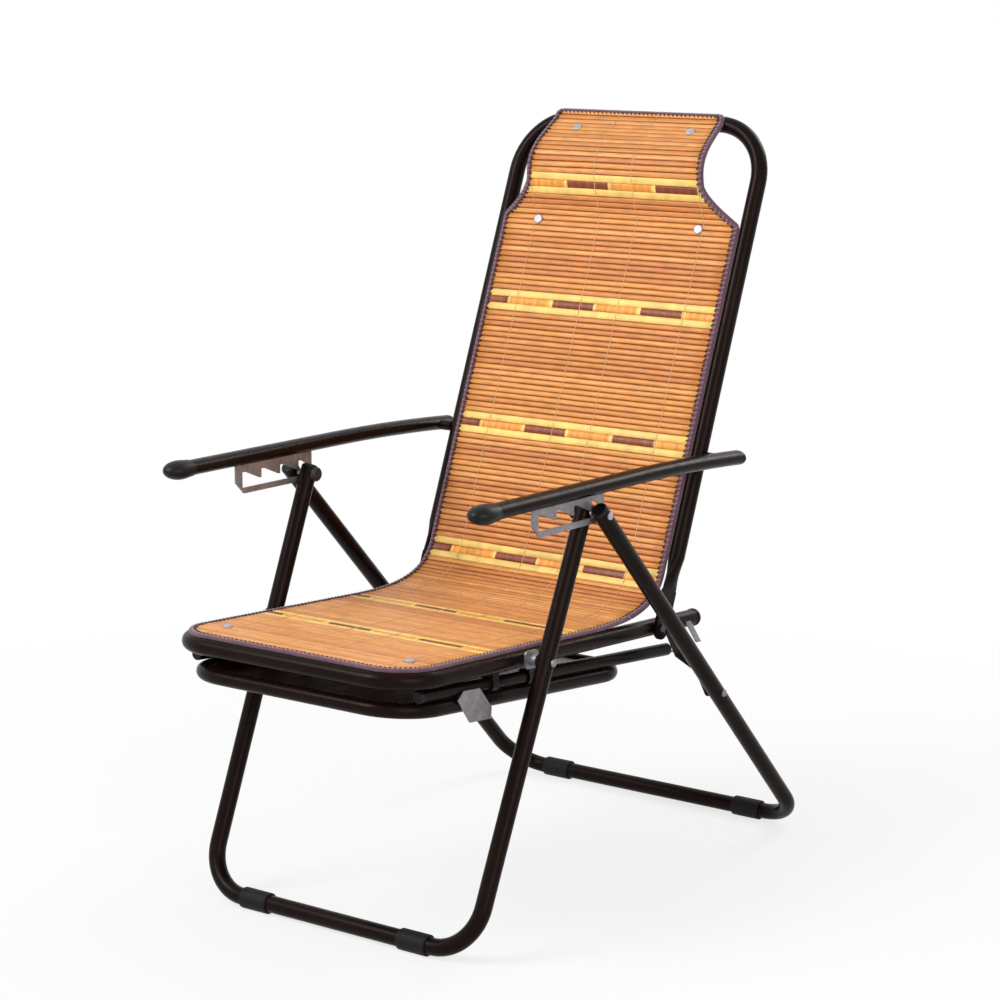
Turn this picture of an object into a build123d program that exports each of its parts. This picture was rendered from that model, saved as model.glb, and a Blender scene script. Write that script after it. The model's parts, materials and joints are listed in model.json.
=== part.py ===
from build123d import *
import math
import os

# A folding recliner: painted steel tube frames with a slat mat.
# Y runs from front to rear, Z is up and X is across. Sizes are in millimetres.
# Side-view places are (y, z) pairs, with y counted from the pivot where the legs cross.

# Tube stock, running clearances and rivets
TUBE_D = 25.0
TUBE_WALL = 1.2
R = TUBE_D / 2
GAP = 0.3
RUN = 0.05
PIN_D = 6.0
HOLE_D = PIN_D + 2 * RUN
HEAD_D = 11.0
HEAD_T = 3.0
EDGE_SHARE = 0.6

# Widths, each counted from the middle plane to a tube's axis
SEAT_HALF = 211.0
SEAT_TO_LEG = 17.0
LEG_TO_LEG = 7.0
FRONT_HALF_TOP = SEAT_HALF + TUBE_D + SEAT_TO_LEG
REAR_HALF_TOP = FRONT_HALF_TOP + TUBE_D + LEG_TO_LEG
FRONT_TAPER = 9.0
REAR_TAPER = 5.0
FRONT_HALF_FOOT = FRONT_HALF_TOP - FRONT_TAPER
REAR_HALF_FOOT = REAR_HALF_TOP - REAR_TAPER

# Legs
PIVOT_Z = 597.5
FRONT_FOOT_Y = -249.0
REAR_FOOT_Y = 562.0
FRONT_BEND = 70.0
REAR_BEND = 65.0
LEG_END = 9.0
LEG_CAP_T = 4.5
LEG_CAP_SHARE = 0.85
NUT_D = 22.0
NUT_T = 7.0
SLEEVE_WALL = 3.0
SLEEVE_FLAT = 0.5
SLEEVE_EDGE = 2.0
SLEEVE_L = 50.0
SLEEVE_SPACE = 3.0
SLEEVE_D = TUBE_D + 2 * SLEEVE_WALL
FOOT_Z = SLEEVE_D / 2 - SLEEVE_FLAT
FRONT_SLEEVE_X = FRONT_HALF_FOOT - FRONT_BEND - SLEEVE_SPACE - SLEEVE_L / 2
REAR_SLEEVE_X = REAR_HALF_FOOT - REAR_BEND - SLEEVE_SPACE - SLEEVE_L / 2

# Seat frame and its pivots on the front legs
SEAT_FRONT_Y = -349.0
SEAT_FRONT_Z = 414.0
SEAT_TAIL_Y = 349.0
SEAT_TAIL_Z = 374.0
SEAT_BEND = 66.0
CAP_T = 5.0
SEAT_CAP_T = 8.0
SEAT_CAP_SWELL = 1.0
PIVOT_PLATE_T = 3.0
PIVOT_PLATE_H = 26.0
PIVOT_PLATE_W = 30.0
PIVOT_PLATE_CORNER = 6.0
PIVOT_BOSS_D = 17.0

# Back frame, hinged on the outer faces of the seat rails
HINGE_Y = 241.0
BACK_TOP_Y = 527.0
BACK_TOP_Z = 1108.0
BACK_BEND = 90.0
PADDLE_T = 5.0
PADDLE_W = 34.0
PADDLE_L = 58.0
PADDLE_BLEND = 50.0
PADDLE_EDGE_SHARE = 0.45
PADDLE_X = SEAT_HALF + R + GAP
BACK_HALF = PADDLE_X + PADDLE_T / 2

# Links from the back hinge down to the rear legs
LINK_FOOT_Z = 277.0
LINK_W = 18.0
LINK_T = 3.0
LINK_X = BACK_HALF + R + 2 * GAP

# Notched rack plates below the armrests, between the front and rear legs
RACK_X = (FRONT_HALF_TOP + REAR_HALF_TOP) / 2
RACK_T = 3.0
RACK_NOTCHES = 4
RACK_PITCH = 42.0
RACK_STRIP = 10.0
RACK_TIP = 23.0
RACK_CHANNEL = 33.5
RACK_DEPTH = 42.0
RACK_FRONT = 19.0
RACK_REAR = 25.0
RACK_REAR_BAR = 11.0
RACK_SLOPE = 17.6
RACK_CORNER = 6.0
RACK_TIP_FLAT = 3.0
NOTCH_FRONT = 5.0
NOTCH_FLAT = 2.0
BUSH_D = 8.0

# Armrests, hung inside their rear ends on the back tubes
ARM_OUT = 5.0
ARM_HALF = RACK_X + ARM_OUT
ARM_W = 32.0
ARM_H = 22.0
ARM_FRONT_Y = -250.0
ARM_FRONT_RISE = 40.5
ARM_BEND_Y = 90.0
ARM_BEND_RISE = 38.5
ARM_REAR_RISE = 27.5
ARM_TAIL = 30.0
ARM_HINGE_RISE = 28.5
ARM_CAP_L = 35.0
ARM_CAP_LIP = 10.0
ARM_BOSS_D = 16.0
ARM_HEAD_SHARE = 0.64

# Footrest that slides under the seat on rails, a little steeper than the seat
REST_D = 22.0
REST_INSET = 11.0
REST_HALF = SEAT_HALF - REST_INSET
REST_FRONT = 16.0
REST_LENGTH = 534.0
REST_BEND = 70.0
REST_TILT = 1.9
PANEL_T = 8.0
RAIL_D = 19.0
RAIL_DROP = R + GAP + RAIL_D / 2
REST_DROP = RAIL_DROP + RAIL_D / 2 + GAP + REST_D / 2
RAIL_FRONT = 46.0
RAIL_TAIL_ROOM = 52.0
GUIDE_FRONT = 196.0
GUIDE_PITCH = 86.0
GUIDE_L = 14.0
GUIDE_WALL = 3.0
GUIDE_MOUTH = 14.0
GUIDE_LIFT = 0.5
GUIDE_NECK = 10.0
TIE_T = 2.0
TIE_FRONT = 116.0
TIE_L = 78.0
TIE_TOP = 22.0
TIE_H = 46.0
TIE_CORNER = 12.0
TIE_LEAN = 30.0
STRAP_FROM_TAIL = 31.0
STRAP_W = 12.0
STRAP_BACK = 32.0
STRAP_DROP = 36.0
STRAP_T = 3.0
STRAP_SEAT = 1.0
WIRE_D = 3.5
WIRE_LOW = 5.0
WIRE_RUN = 18.0
WIRE_TIP = 16.0
WIRE_RISE = 4.0

# Slat mat
MAT_T = 4.0
MAT_BASE = 1.6
SLAT_PITCH = 9.8
SLAT_GAP = 1.6
MAT_LIFT = R + GAP
SEAT_MAT_OVER = 1.0
SEAT_MAT_HALF = SEAT_HALF + SEAT_MAT_OVER
BACK_MAT_INSET = 7.0
BACK_MAT_HALF = BACK_HALF - BACK_MAT_INSET
SEAT_MAT_FRONT = -2.0
MAT_CORNER = 66.0
BEND_ON_SEAT = 150.0
BEND_ON_BACK = 110.0
BEND_SHARE = 0.98
HEAD_BULGE = 44.0
BULGE_POWER = 1.3
SKEW_POWER = 0.85
HEAD_INSET = 55.0
HEAD_HALF = BACK_MAT_HALF - HEAD_INSET
HEAD_TAPER = 4.0
HEAD_LENGTH = 164.4
HEAD_CUT_RISE = 62.0
HEAD_CUT_SHARE = 0.36
SNAP_D = 15.0
SNAP_H = 3.0
SEAT_SNAP_INSET = 47.0
SEAT_SNAP_ALONG = 67.0
TOP_SNAP_INSET = 58.0
TOP_SNAP_DOWN = 24.0
SHOULDER_SNAP_INSET = 14.0
SHOULDER_SNAP_DOWN = 9.0

NODES = {}


def at(x, yz):
    """A point in space from a distance across and a side-view place."""
    return Vector(x, yz[0], yz[1])


def between(a, b, share):
    """The place a share of the way from a to b."""
    return (a[0] + (b[0] - a[0]) * share, a[1] + (b[1] - a[1]) * share)


def span(a, b):
    """Distance between two side-view places."""
    return math.hypot(b[0] - a[0], b[1] - a[1])


def frame_at(origin, toward):
    """Side-view axes at origin: one along the line to toward and one square to it, turned upward."""
    length = span(origin, toward)
    along = ((toward[0] - origin[0]) / length, (toward[1] - origin[1]) / length)
    square = (-along[1], along[0])
    return along, square


def tilted(axes, degrees):
    """Side-view axes turned so that the first one dips by an angle."""
    turn = math.radians(degrees)
    along = (axes[0][0] * math.cos(turn) - axes[1][0] * math.sin(turn),
             axes[0][1] * math.cos(turn) - axes[1][1] * math.sin(turn))
    return along, (-along[1], along[0])


def offset_place(origin, axes, along, square):
    """A side-view place given by its distances along both axes."""
    return (origin[0] + axes[0][0] * along + axes[1][0] * square,
            origin[1] + axes[0][1] * along + axes[1][1] * square)


# Main side-view places
PIVOT = (0.0, PIVOT_Z)
FRONT_FOOT = (FRONT_FOOT_Y, FOOT_Z)
REAR_FOOT = (REAR_FOOT_Y, FOOT_Z)
SEAT_FRONT = (SEAT_FRONT_Y, SEAT_FRONT_Z)
SEAT_TAIL = (SEAT_TAIL_Y, SEAT_TAIL_Z)
SEAT_AXES = frame_at(SEAT_FRONT, SEAT_TAIL)
HINGE = between(SEAT_FRONT, SEAT_TAIL, (HINGE_Y - SEAT_FRONT_Y) / (SEAT_TAIL_Y - SEAT_FRONT_Y))
BACK_TOP = (BACK_TOP_Y, BACK_TOP_Z)
BACK_AXES = frame_at(HINGE, BACK_TOP)
BACK_LENGTH = span(HINGE, BACK_TOP)
HEAD_CUT_LOW = BACK_LENGTH - HEAD_LENGTH
LINK_FOOT = between(PIVOT, REAR_FOOT, (PIVOT_Z - LINK_FOOT_Z) / (PIVOT_Z - FOOT_Z))
ARM_HINGE = between(HINGE, BACK_TOP, (PIVOT_Z + ARM_HINGE_RISE - HINGE[1]) / (BACK_TOP_Z - HINGE[1]))
ARM_FRONT = (ARM_FRONT_Y, PIVOT_Z + ARM_FRONT_RISE)
ARM_BEND = (ARM_BEND_Y, PIVOT_Z + ARM_BEND_RISE)
ARM_REAR = (ARM_HINGE[0] + ARM_TAIL, PIVOT_Z + ARM_REAR_RISE)
ARM_AXES = frame_at(ARM_FRONT, ARM_BEND)
HINGE_ALONG = span(SEAT_FRONT, HINGE)
SEAT_LENGTH = span(SEAT_FRONT, SEAT_TAIL)
SLIDE_AXES = tilted(SEAT_AXES, REST_TILT)
RAIL_LENGTH = SEAT_LENGTH - RAIL_FRONT - RAIL_TAIL_ROOM


def crossing(a, b, c, d):
    """Where the line from a to b meets the line from c to d."""
    ab = (b[0] - a[0], b[1] - a[1])
    cd = (d[0] - c[0], d[1] - c[1])
    across = ab[0] * cd[1] - ab[1] * cd[0]
    share = ((c[0] - a[0]) * cd[1] - (c[1] - a[1]) * cd[0]) / across
    return between(a, b, share)


SEAT_PIVOT = crossing(PIVOT, FRONT_FOOT, SEAT_FRONT, SEAT_TAIL)
FRONT_REACH = SEAT_FRONT_Y - R
REAR_REACH = REAR_FOOT_Y + SLEEVE_D / 2
CENTRE_Y = (FRONT_REACH + REAR_REACH) / 2


def seat_place(along, square):
    """A place given by its distance behind the seat's front tube and its height above the rail axis."""
    return offset_place(SEAT_FRONT, SEAT_AXES, along, square)


def slide_place(along, drop):
    """A place given by its distance behind the seat's front tube, along the slide, and its drop below it."""
    return offset_place(SEAT_FRONT, SLIDE_AXES, along, -drop)


def back_place(along, forward):
    """A place given by its distance up the back from the hinge and its distance in front of its tubes."""
    return offset_place(HINGE, BACK_AXES, along, forward)


def leg_half(top, foot, z):
    """Half the width between a pair of legs at a height."""
    return top + (foot - top) * (PIVOT_Z - z) / (PIVOT_Z - FOOT_Z)


def swept(path, outer, wall):
    """A tube of an outer diameter along a path. A wall of zero gives a solid bar."""
    profile = Circle(outer / 2)
    if wall:
        profile = profile - Circle(outer / 2 - wall)
    plane = Plane(origin=path @ 0, z_dir=path % 0)
    return sweep(plane * profile, path=path)


def rod(x0, x1, yz, diameter):
    """A round bar across the object, from x0 to x1."""
    low = min(x0, x1)
    plane = Plane(origin=at(low, yz), x_dir=(0, 1, 0), z_dir=(1, 0, 0))
    return plane * extrude(Circle(diameter / 2), abs(x1 - x0))


def side_plane(x, origin, axes):
    """A sketch plane at a distance across, whose x runs along the first side-view axis."""
    return Plane(origin=at(x, origin), x_dir=(0, axes[0][0], axes[0][1]), z_dir=(1, 0, 0))


def domed(x, yz, side, diameter, height):
    """A domed rivet head whose flat face is at x and which rises away from the object's middle."""
    head = extrude(Circle(diameter / 2), height)
    head = fillet(head.edges().group_by(Axis.Z)[-1], height * EDGE_SHARE)
    plane = Plane(origin=at(x, yz), x_dir=(0, 1, 0), z_dir=(side, 0, 0))
    return plane * head


def mirrored(solid):
    """The left-hand twin of a right-hand piece."""
    return mirror(solid, about=Plane.YZ)


def add(name, *solids):
    """Keep a node, with its solids moved so that the origin is below the middle of the object."""
    moved = [Pos(0, -CENTRE_Y, 0) * s for one in solids for s in one.solids()]
    NODES[name] = moved[0] if len(moved) == 1 else Compound(children=moved)


def add_pair(name, solid):
    """Keep a right-hand piece and its left-hand twin as one node."""
    add(name, solid, mirrored(solid))


def add_sides(name, solid):
    """Keep a right-hand piece and its left-hand twin as two nodes."""
    add(name + "_right", solid)
    add(name + "_left", mirrored(solid))


def leg_path(half_top, half_foot, foot, bend):
    """Centre line of a U of two legs and the bar on the floor between them."""
    axes = frame_at(foot, PIVOT)
    reach = span(foot, PIVOT) + LEG_END
    top = offset_place(foot, axes, reach, 0)
    half_end = leg_half(half_top, half_foot, top[1])
    points = [at(half_end, top), at(half_foot, foot), at(-half_foot, foot), at(-half_end, top)]
    return FilletPolyline(*points, radius=bend)


def both_sides(cutter):
    """A cutter for the right side together with its twin for the left."""
    return [cutter, mirrored(cutter)]


def leg_frame(half_top, half_foot, foot, bend, holes):
    """One U of legs, drilled across for its pins."""
    tube = swept(leg_path(half_top, half_foot, foot, bend), TUBE_D, TUBE_WALL)
    for place in holes:
        half = leg_half(half_top, half_foot, place[1])
        for cutter in both_sides(rod(half - TUBE_D, half + TUBE_D, place, HOLE_D)):
            tube = tube - cutter
    return tube


def leg_cap(half_top, half_foot, foot, bend):
    """Domed plug on the top end of a right leg."""
    path = leg_path(half_top, half_foot, foot, bend)
    plane = Plane(origin=path @ 0, z_dir=-(path % 0))
    dome = extrude(Circle(R), LEG_CAP_T)
    dome = fillet(dome.edges().group_by(Axis.Z)[-1], LEG_CAP_T * LEG_CAP_SHARE)
    stem = Pos(0, 0, -LEG_CAP_T) * extrude(Circle(R - TUBE_WALL - RUN), LEG_CAP_T)
    return plane * (dome + stem)


def floor_sleeve(x, foot):
    """Rubber sleeve round a floor bar, cut flat where it stands."""
    plane = Plane(origin=at(x - SLEEVE_L / 2, foot), x_dir=(0, 1, 0), z_dir=(1, 0, 0))
    ring = extrude(Circle(SLEEVE_D / 2), SLEEVE_L)
    ring = fillet(ring.edges().filter_by(GeomType.CIRCLE), SLEEVE_EDGE)
    sleeve = plane * (ring - extrude(Circle(R + RUN), SLEEVE_L))
    floor = Pos(x, foot[0], -SLEEVE_D / 2) * Box(2 * SLEEVE_L, 2 * SLEEVE_D, SLEEVE_D)
    return sleeve - floor


def make_legs():
    add("rear_leg_frame", leg_frame(REAR_HALF_TOP, REAR_HALF_FOOT, REAR_FOOT, REAR_BEND,
                                    [PIVOT, LINK_FOOT]))
    add("front_leg_frame", leg_frame(FRONT_HALF_TOP, FRONT_HALF_FOOT, FRONT_FOOT, FRONT_BEND,
                                     [PIVOT, SEAT_PIVOT]))
    add_pair("rear_leg_caps", leg_cap(REAR_HALF_TOP, REAR_HALF_FOOT, REAR_FOOT, REAR_BEND))
    add_pair("front_leg_caps", leg_cap(FRONT_HALF_TOP, FRONT_HALF_FOOT, FRONT_FOOT, FRONT_BEND))
    add_sides("rear_floor_sleeve", floor_sleeve(REAR_SLEEVE_X, REAR_FOOT))
    add_sides("front_floor_sleeve", floor_sleeve(FRONT_SLEEVE_X, FRONT_FOOT))


def make_leg_pins():
    """Pins with cap nuts where the legs cross, and the bush between the legs that carries the rack."""
    inner = FRONT_HALF_TOP - R - GAP
    outer = REAR_HALF_TOP + R + GAP
    pin = rod(inner, outer, PIVOT, PIN_D)
    pin = pin + domed(outer, PIVOT, 1, HEAD_D, HEAD_T) + domed(inner, PIVOT, -1, NUT_D, NUT_T)
    add_pair("rack_pins", pin)
    low = FRONT_HALF_TOP + R + GAP
    high = REAR_HALF_TOP - R - GAP
    bush = rod(low, high, PIVOT, BUSH_D) - rod(low, high, PIVOT, HOLE_D)
    add_pair("rack_bushes", bush)


def seat_path():
    """Centre line of the seat U, from the right tail round the front to the left tail."""
    points = [at(SEAT_HALF, SEAT_TAIL), at(SEAT_HALF, SEAT_FRONT),
              at(-SEAT_HALF, SEAT_FRONT), at(-SEAT_HALF, SEAT_TAIL)]
    return FilletPolyline(*points, radius=SEAT_BEND)


def make_seat_frame():
    tube = swept(seat_path(), TUBE_D, TUBE_WALL)
    for place in (SEAT_PIVOT, HINGE):
        for cutter in both_sides(rod(SEAT_HALF - TUBE_D, SEAT_HALF + TUBE_D, place, HOLE_D)):
            tube = tube - cutter
    add("seat_frame", tube)
    plane = Plane(origin=at(SEAT_HALF, SEAT_TAIL), z_dir=(0, SEAT_AXES[0][0], SEAT_AXES[0][1]))
    cap = extrude(Circle(R + SEAT_CAP_SWELL), SEAT_CAP_T)
    cap = fillet(cap.edges().group_by(Axis.Z)[-1], SEAT_CAP_T * EDGE_SHARE)
    stem = Pos(0, 0, -2 * CAP_T) * extrude(Circle(R - TUBE_WALL - RUN), 2 * CAP_T)
    add_pair("seat_rail_caps", plane * (cap + stem))


def make_seat_pivots():
    """Bracket on each seat rail and the bolt that hangs it on the front leg."""
    half = leg_half(FRONT_HALF_TOP, FRONT_HALF_FOOT, SEAT_PIVOT[1])
    rail_face = SEAT_HALF + R
    leg_face = half - R
    plane = side_plane(rail_face, SEAT_PIVOT, SEAT_AXES)
    plate = plane * extrude(RectangleRounded(PIVOT_PLATE_W, PIVOT_PLATE_H, PIVOT_PLATE_CORNER), PIVOT_PLATE_T)
    boss = rod(rail_face + PIVOT_PLATE_T, leg_face - GAP, SEAT_PIVOT, PIVOT_BOSS_D)
    bracket = plate + boss - rod(0, half, SEAT_PIVOT, HOLE_D)
    add_pair("seat_pivot_brackets", bracket)
    inner = SEAT_HALF - R - GAP
    outer = half + R + GAP
    bolt = rod(inner, outer, SEAT_PIVOT, PIN_D)
    bolt = bolt + domed(outer, SEAT_PIVOT, 1, HEAD_D, HEAD_T) + domed(inner, SEAT_PIVOT, -1, HEAD_D, HEAD_T)
    add_pair("seat_pivot_bolts", bolt)


def back_tube_path():
    """Centre line of the back U, between the ends of its flattened tails."""
    start = back_place(PADDLE_L + PADDLE_BLEND, 0)
    points = [at(BACK_HALF, start), at(BACK_HALF, BACK_TOP),
              at(-BACK_HALF, BACK_TOP), at(-BACK_HALF, start)]
    return FilletPolyline(*points, radius=BACK_BEND)


def back_tail():
    """Flattened right tail of the back tube, drilled for the hinge bolt."""
    centre = PADDLE_X + PADDLE_T / 2
    up = (0, BACK_AXES[0][0], BACK_AXES[0][1])
    low = Plane(origin=at(centre, back_place(PADDLE_L, 0)), x_dir=(1, 0, 0), z_dir=up)
    high = Plane(origin=at(BACK_HALF, back_place(PADDLE_L + PADDLE_BLEND, 0)), x_dir=(1, 0, 0), z_dir=up)
    flare = loft([low * RectangleRounded(PADDLE_T, PADDLE_W, PADDLE_T * PADDLE_EDGE_SHARE), high * Circle(R)])
    plane = side_plane(PADDLE_X, HINGE, BACK_AXES)
    outline = Pos(PADDLE_L / 2, 0) * Rectangle(PADDLE_L, PADDLE_W) + Circle(PADDLE_W / 2)
    paddle = plane * extrude(outline, PADDLE_T)
    hole = rod(PADDLE_X - TUBE_D, PADDLE_X + TUBE_D, HINGE, HOLE_D)
    return flare + paddle - hole


def make_back_frame():
    tail = back_tail()
    add("back_frame", swept(back_tube_path(), TUBE_D, TUBE_WALL) + tail + mirrored(tail))
    inner = SEAT_HALF - R - GAP
    spacer = PADDLE_X + PADDLE_T + GAP
    outer = LINK_X - GAP
    bolt = rod(inner, outer, HINGE, PIN_D) + rod(spacer, outer, HINGE, HEAD_D)
    add_pair("back_hinge_bolts", bolt + domed(inner, HINGE, -1, HEAD_D, HEAD_T))


def make_links():
    """Cranked strips from the back hinge to the rear legs, with their upper studs and lower rivets."""
    axes = frame_at(HINGE, LINK_FOOT)
    length = span(HINGE, LINK_FOOT)
    half = leg_half(REAR_HALF_TOP, REAR_HALF_FOOT, LINK_FOOT[1])
    low_x = half - R - GAP - LINK_T
    step = (low_x - LINK_X) / 2
    end = LINK_W / 2
    crank = [(-end, LINK_X), (length / 2 - step, LINK_X), (length / 2 + step, low_x),
             (length + end, low_x), (length + end, low_x + LINK_T), (length / 2 + step, low_x + LINK_T),
             (length / 2 - step, LINK_X + LINK_T), (-end, LINK_X + LINK_T)]
    normal = (0, -axes[1][0], -axes[1][1])
    plane = Plane(origin=at(0, HINGE), x_dir=(0, axes[0][0], axes[0][1]), z_dir=normal)
    side = 1 if plane.y_dir.X > 0 else -1
    strip = plane * extrude(make_face(Polyline(*[(w, side * x) for w, x in crank], close=True)), end, both=True)
    outline = Pos(length / 2, 0) * SlotCenterToCenter(length, LINK_W)
    blank = side_plane(0, HINGE, axes) * extrude(outline, REAR_HALF_TOP)
    strip = strip & blank
    for place in (HINGE, LINK_FOOT):
        strip = strip - rod(LINK_X - TUBE_D, low_x + TUBE_D, place, HOLE_D)
    add_sides("link", strip)
    stud = rod(LINK_X, LINK_X + LINK_T, HINGE, PIN_D) + domed(LINK_X + LINK_T, HINGE, 1, HEAD_D, HEAD_T)
    add_pair("link_studs", stud)
    inner = low_x - GAP
    outer = half + R + GAP
    rivet = rod(inner, outer, LINK_FOOT, PIN_D) + domed(inner, LINK_FOOT, -1, HEAD_D, HEAD_T)
    add_pair("link_rivets", rivet + domed(outer, LINK_FOOT, 1, HEAD_D, HEAD_T))


def arm_path():
    """Centre line of the right armrest: straight over the rack and drooping gently towards the rear."""
    straight = Line(at(ARM_HALF, ARM_FRONT), at(ARM_HALF, ARM_BEND))
    droop = TangentArc(at(ARM_HALF, ARM_BEND), at(ARM_HALF, ARM_REAR), tangent=straight % 1)
    return Wire([straight, droop])


def arm_section(grow=0.0):
    """Oval section of the armrest tube."""
    return Ellipse(ARM_W / 2 + grow, ARM_H / 2 + grow)


def arm_plane(path, share, way):
    """A plane square to the armrest at a share of its length, with x across."""
    return Plane(origin=path @ share, x_dir=(1, 0, 0), z_dir=(path % share) * way)


def arm_front_cap(path):
    """Bulbous front cap that grips the tube's end, swells past it and closes to a round nose."""
    stations = [(-ARM_CAP_LIP, 1.12), (0.0, 1.2), (0.35 * ARM_CAP_L, 1.25), (0.65 * ARM_CAP_L, 1.08),
                (0.88 * ARM_CAP_L, 0.7), (ARM_CAP_L, 0.25)]
    plane = arm_plane(path, 0, -1)
    ovals = [plane * Pos(0, 0, d) * Ellipse(ARM_W / 2 * g, ARM_H / 2 * g) for d, g in stations]
    socket = Pos(0, 0, -2 * ARM_CAP_LIP) * extrude(arm_section(RUN), 2 * ARM_CAP_LIP)
    return loft(ovals) - plane * socket


def arm_rear_cap(path):
    """Flat rear cap with a rounded rim."""
    cap = extrude(arm_section(), CAP_T)
    cap = fillet(cap.edges().group_by(Axis.Z)[-1], CAP_T * EDGE_SHARE)
    return arm_plane(path, 1, 1) * cap


def rack_place():
    """The point of the armrest's underside above the leg pivot."""
    along = (PIVOT[0] - ARM_FRONT[0]) * ARM_AXES[0][0] + (PIVOT[1] - ARM_FRONT[1]) * ARM_AXES[0][1]
    return offset_place(ARM_FRONT, ARM_AXES, along, -ARM_H / 2)


def rack_window():
    """Outline of the rack's window: a channel below a row of hooked notches."""
    first = -(RACK_NOTCHES - 1) * RACK_PITCH
    rear = RACK_REAR - RACK_REAR_BAR
    points = [(first - NOTCH_FRONT, -RACK_CHANNEL)]
    for number in range(RACK_NOTCHES):
        notch = first + number * RACK_PITCH
        points.append((notch - NOTCH_FRONT, -RACK_STRIP))
        points.append((notch + NOTCH_FLAT, -RACK_STRIP))
        if number < RACK_NOTCHES - 1:
            tip = notch + RACK_PITCH - NOTCH_FRONT
            points.append((tip - RACK_TIP_FLAT, -RACK_TIP))
            points.append((tip, -RACK_TIP))
    points.append((rear, -(RACK_STRIP + RACK_TIP) / 2))
    points.append((rear, -RACK_CHANNEL))
    return make_face(Polyline(*points, close=True))


def rack_plate(arm_solid):
    """Right rack plate, seated against the underside of the armrest."""
    front = -(RACK_NOTCHES - 1) * RACK_PITCH - RACK_FRONT
    rise = ARM_H / 2
    outline = make_face(Polyline((front, rise), (RACK_REAR, rise), (RACK_REAR, RACK_CORNER - RACK_DEPTH),
                                 (RACK_REAR - RACK_CORNER, -RACK_DEPTH), (front + RACK_SLOPE, -RACK_DEPTH),
                                 (front, RACK_SLOPE - RACK_DEPTH), close=True))
    plane = side_plane(RACK_X - RACK_T / 2, rack_place(), ARM_AXES)
    return plane * extrude(outline - rack_window(), RACK_T) - arm_solid


def arm_boss(arm_solid):
    """Right hinge boss, welded to the inner side of the armrest's rear end."""
    inner = BACK_HALF + R + 2 * GAP
    outer = ARM_HALF - ARM_W / 4
    return rod(inner, outer, ARM_HINGE, ARM_BOSS_D) - arm_solid - rod(inner, outer, ARM_HINGE, HOLE_D)


def make_armrests():
    path = arm_path()
    plane = arm_plane(path, 0, 1)
    tube = sweep(plane * (arm_section() - arm_section(-TUBE_WALL)), path=path)
    solid = sweep(plane * arm_section(), path=path)
    add_sides("armrest_tube", tube - rod(ARM_HALF - ARM_W, ARM_HALF, ARM_HINGE, HOLE_D))
    add_sides("armrest_front_cap", arm_front_cap(path))
    add_sides("armrest_rear_cap", arm_rear_cap(path))
    add_sides("rack_plate", rack_plate(solid))
    add_sides("armrest_bracket", arm_boss(solid))
    inner = BACK_HALF + R + GAP
    head = ARM_HALF - ARM_HEAD_SHARE * ARM_W / 2
    rivet = rod(inner, head, ARM_HINGE, PIN_D) + domed(head, ARM_HINGE, 1, HEAD_D, HEAD_T)
    add_pair("armrest_rivets", rivet)


def rest_half_loop():
    """Right half of the footrest frame's centre line."""
    front = slide_place(REST_FRONT, REST_DROP)
    rear = slide_place(REST_FRONT + REST_LENGTH, REST_DROP)
    points = [at(0, front), at(REST_HALF, front), at(REST_HALF, rear), at(0, rear)]
    return FilletPolyline(*points, radius=REST_BEND)


def make_footrest():
    half = swept(rest_half_loop(), REST_D, TUBE_WALL)
    add("footrest_frame", half + mirrored(half))
    solid_half = swept(rest_half_loop(), REST_D, 0)
    middle = slide_place(REST_FRONT + REST_LENGTH / 2, REST_DROP)
    plane = Plane(origin=at(0, middle), x_dir=(1, 0, 0), z_dir=(0, SLIDE_AXES[1][0], SLIDE_AXES[1][1]))
    board = plane * extrude(RectangleRounded(2 * REST_HALF, REST_LENGTH, REST_BEND), PANEL_T / 2, both=True)
    add("footrest_panel", board - solid_half - mirrored(solid_half))


def make_slide_rails():
    """Rails on the footrest frame, with their end plugs, latch wires and tie plates."""
    front = at(REST_HALF, slide_place(RAIL_FRONT, RAIL_DROP))
    rear = at(REST_HALF, slide_place(RAIL_FRONT + RAIL_LENGTH, RAIL_DROP))
    add_sides("slide_rail", swept(Line(front, rear), RAIL_D, TUBE_WALL))
    plug = extrude(Circle(RAIL_D / 2), CAP_T)
    plug = fillet(plug.edges().group_by(Axis.Z)[-1], CAP_T * EDGE_SHARE)
    plug = plug + Pos(0, 0, -2 * CAP_T) * extrude(Circle(RAIL_D / 2 - TUBE_WALL - RUN), 2 * CAP_T)
    ahead = Vector(0, SLIDE_AXES[0][0], SLIDE_AXES[0][1])
    back_plug = Plane(origin=rear, z_dir=ahead) * plug
    front_plug = Plane(origin=front, z_dir=-ahead) * plug
    add("slide_rail_plugs", back_plug, front_plug, mirrored(back_plug), mirrored(front_plug))
    plug_end = RAIL_FRONT + RAIL_LENGTH + CAP_T
    wire_drop = RAIL_DROP + WIRE_LOW
    hook = at(REST_HALF, slide_place(plug_end, wire_drop))
    knee = at(REST_HALF, slide_place(plug_end + WIRE_RUN, wire_drop))
    tip = at(REST_HALF, slide_place(plug_end + WIRE_RUN + WIRE_TIP, wire_drop - WIRE_RISE))
    add_pair("latch_wires", swept(FilletPolyline(hook, knee, tip, radius=2 * WIRE_D), WIRE_D, 0))
    inner = REST_HALF + REST_D / 2
    outline = make_face(Polyline((TIE_CORNER, 0), (TIE_L - TIE_LEAN, 0), (TIE_L, -TIE_LEAN), (TIE_L, -TIE_H),
                                 (TIE_LEAN, -TIE_H), (0, -TIE_CORNER), close=True))
    plane = side_plane(inner, slide_place(TIE_FRONT, TIE_TOP), SLIDE_AXES)
    add_sides("tie_plate", plane * extrude(outline, TIE_T))


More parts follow.
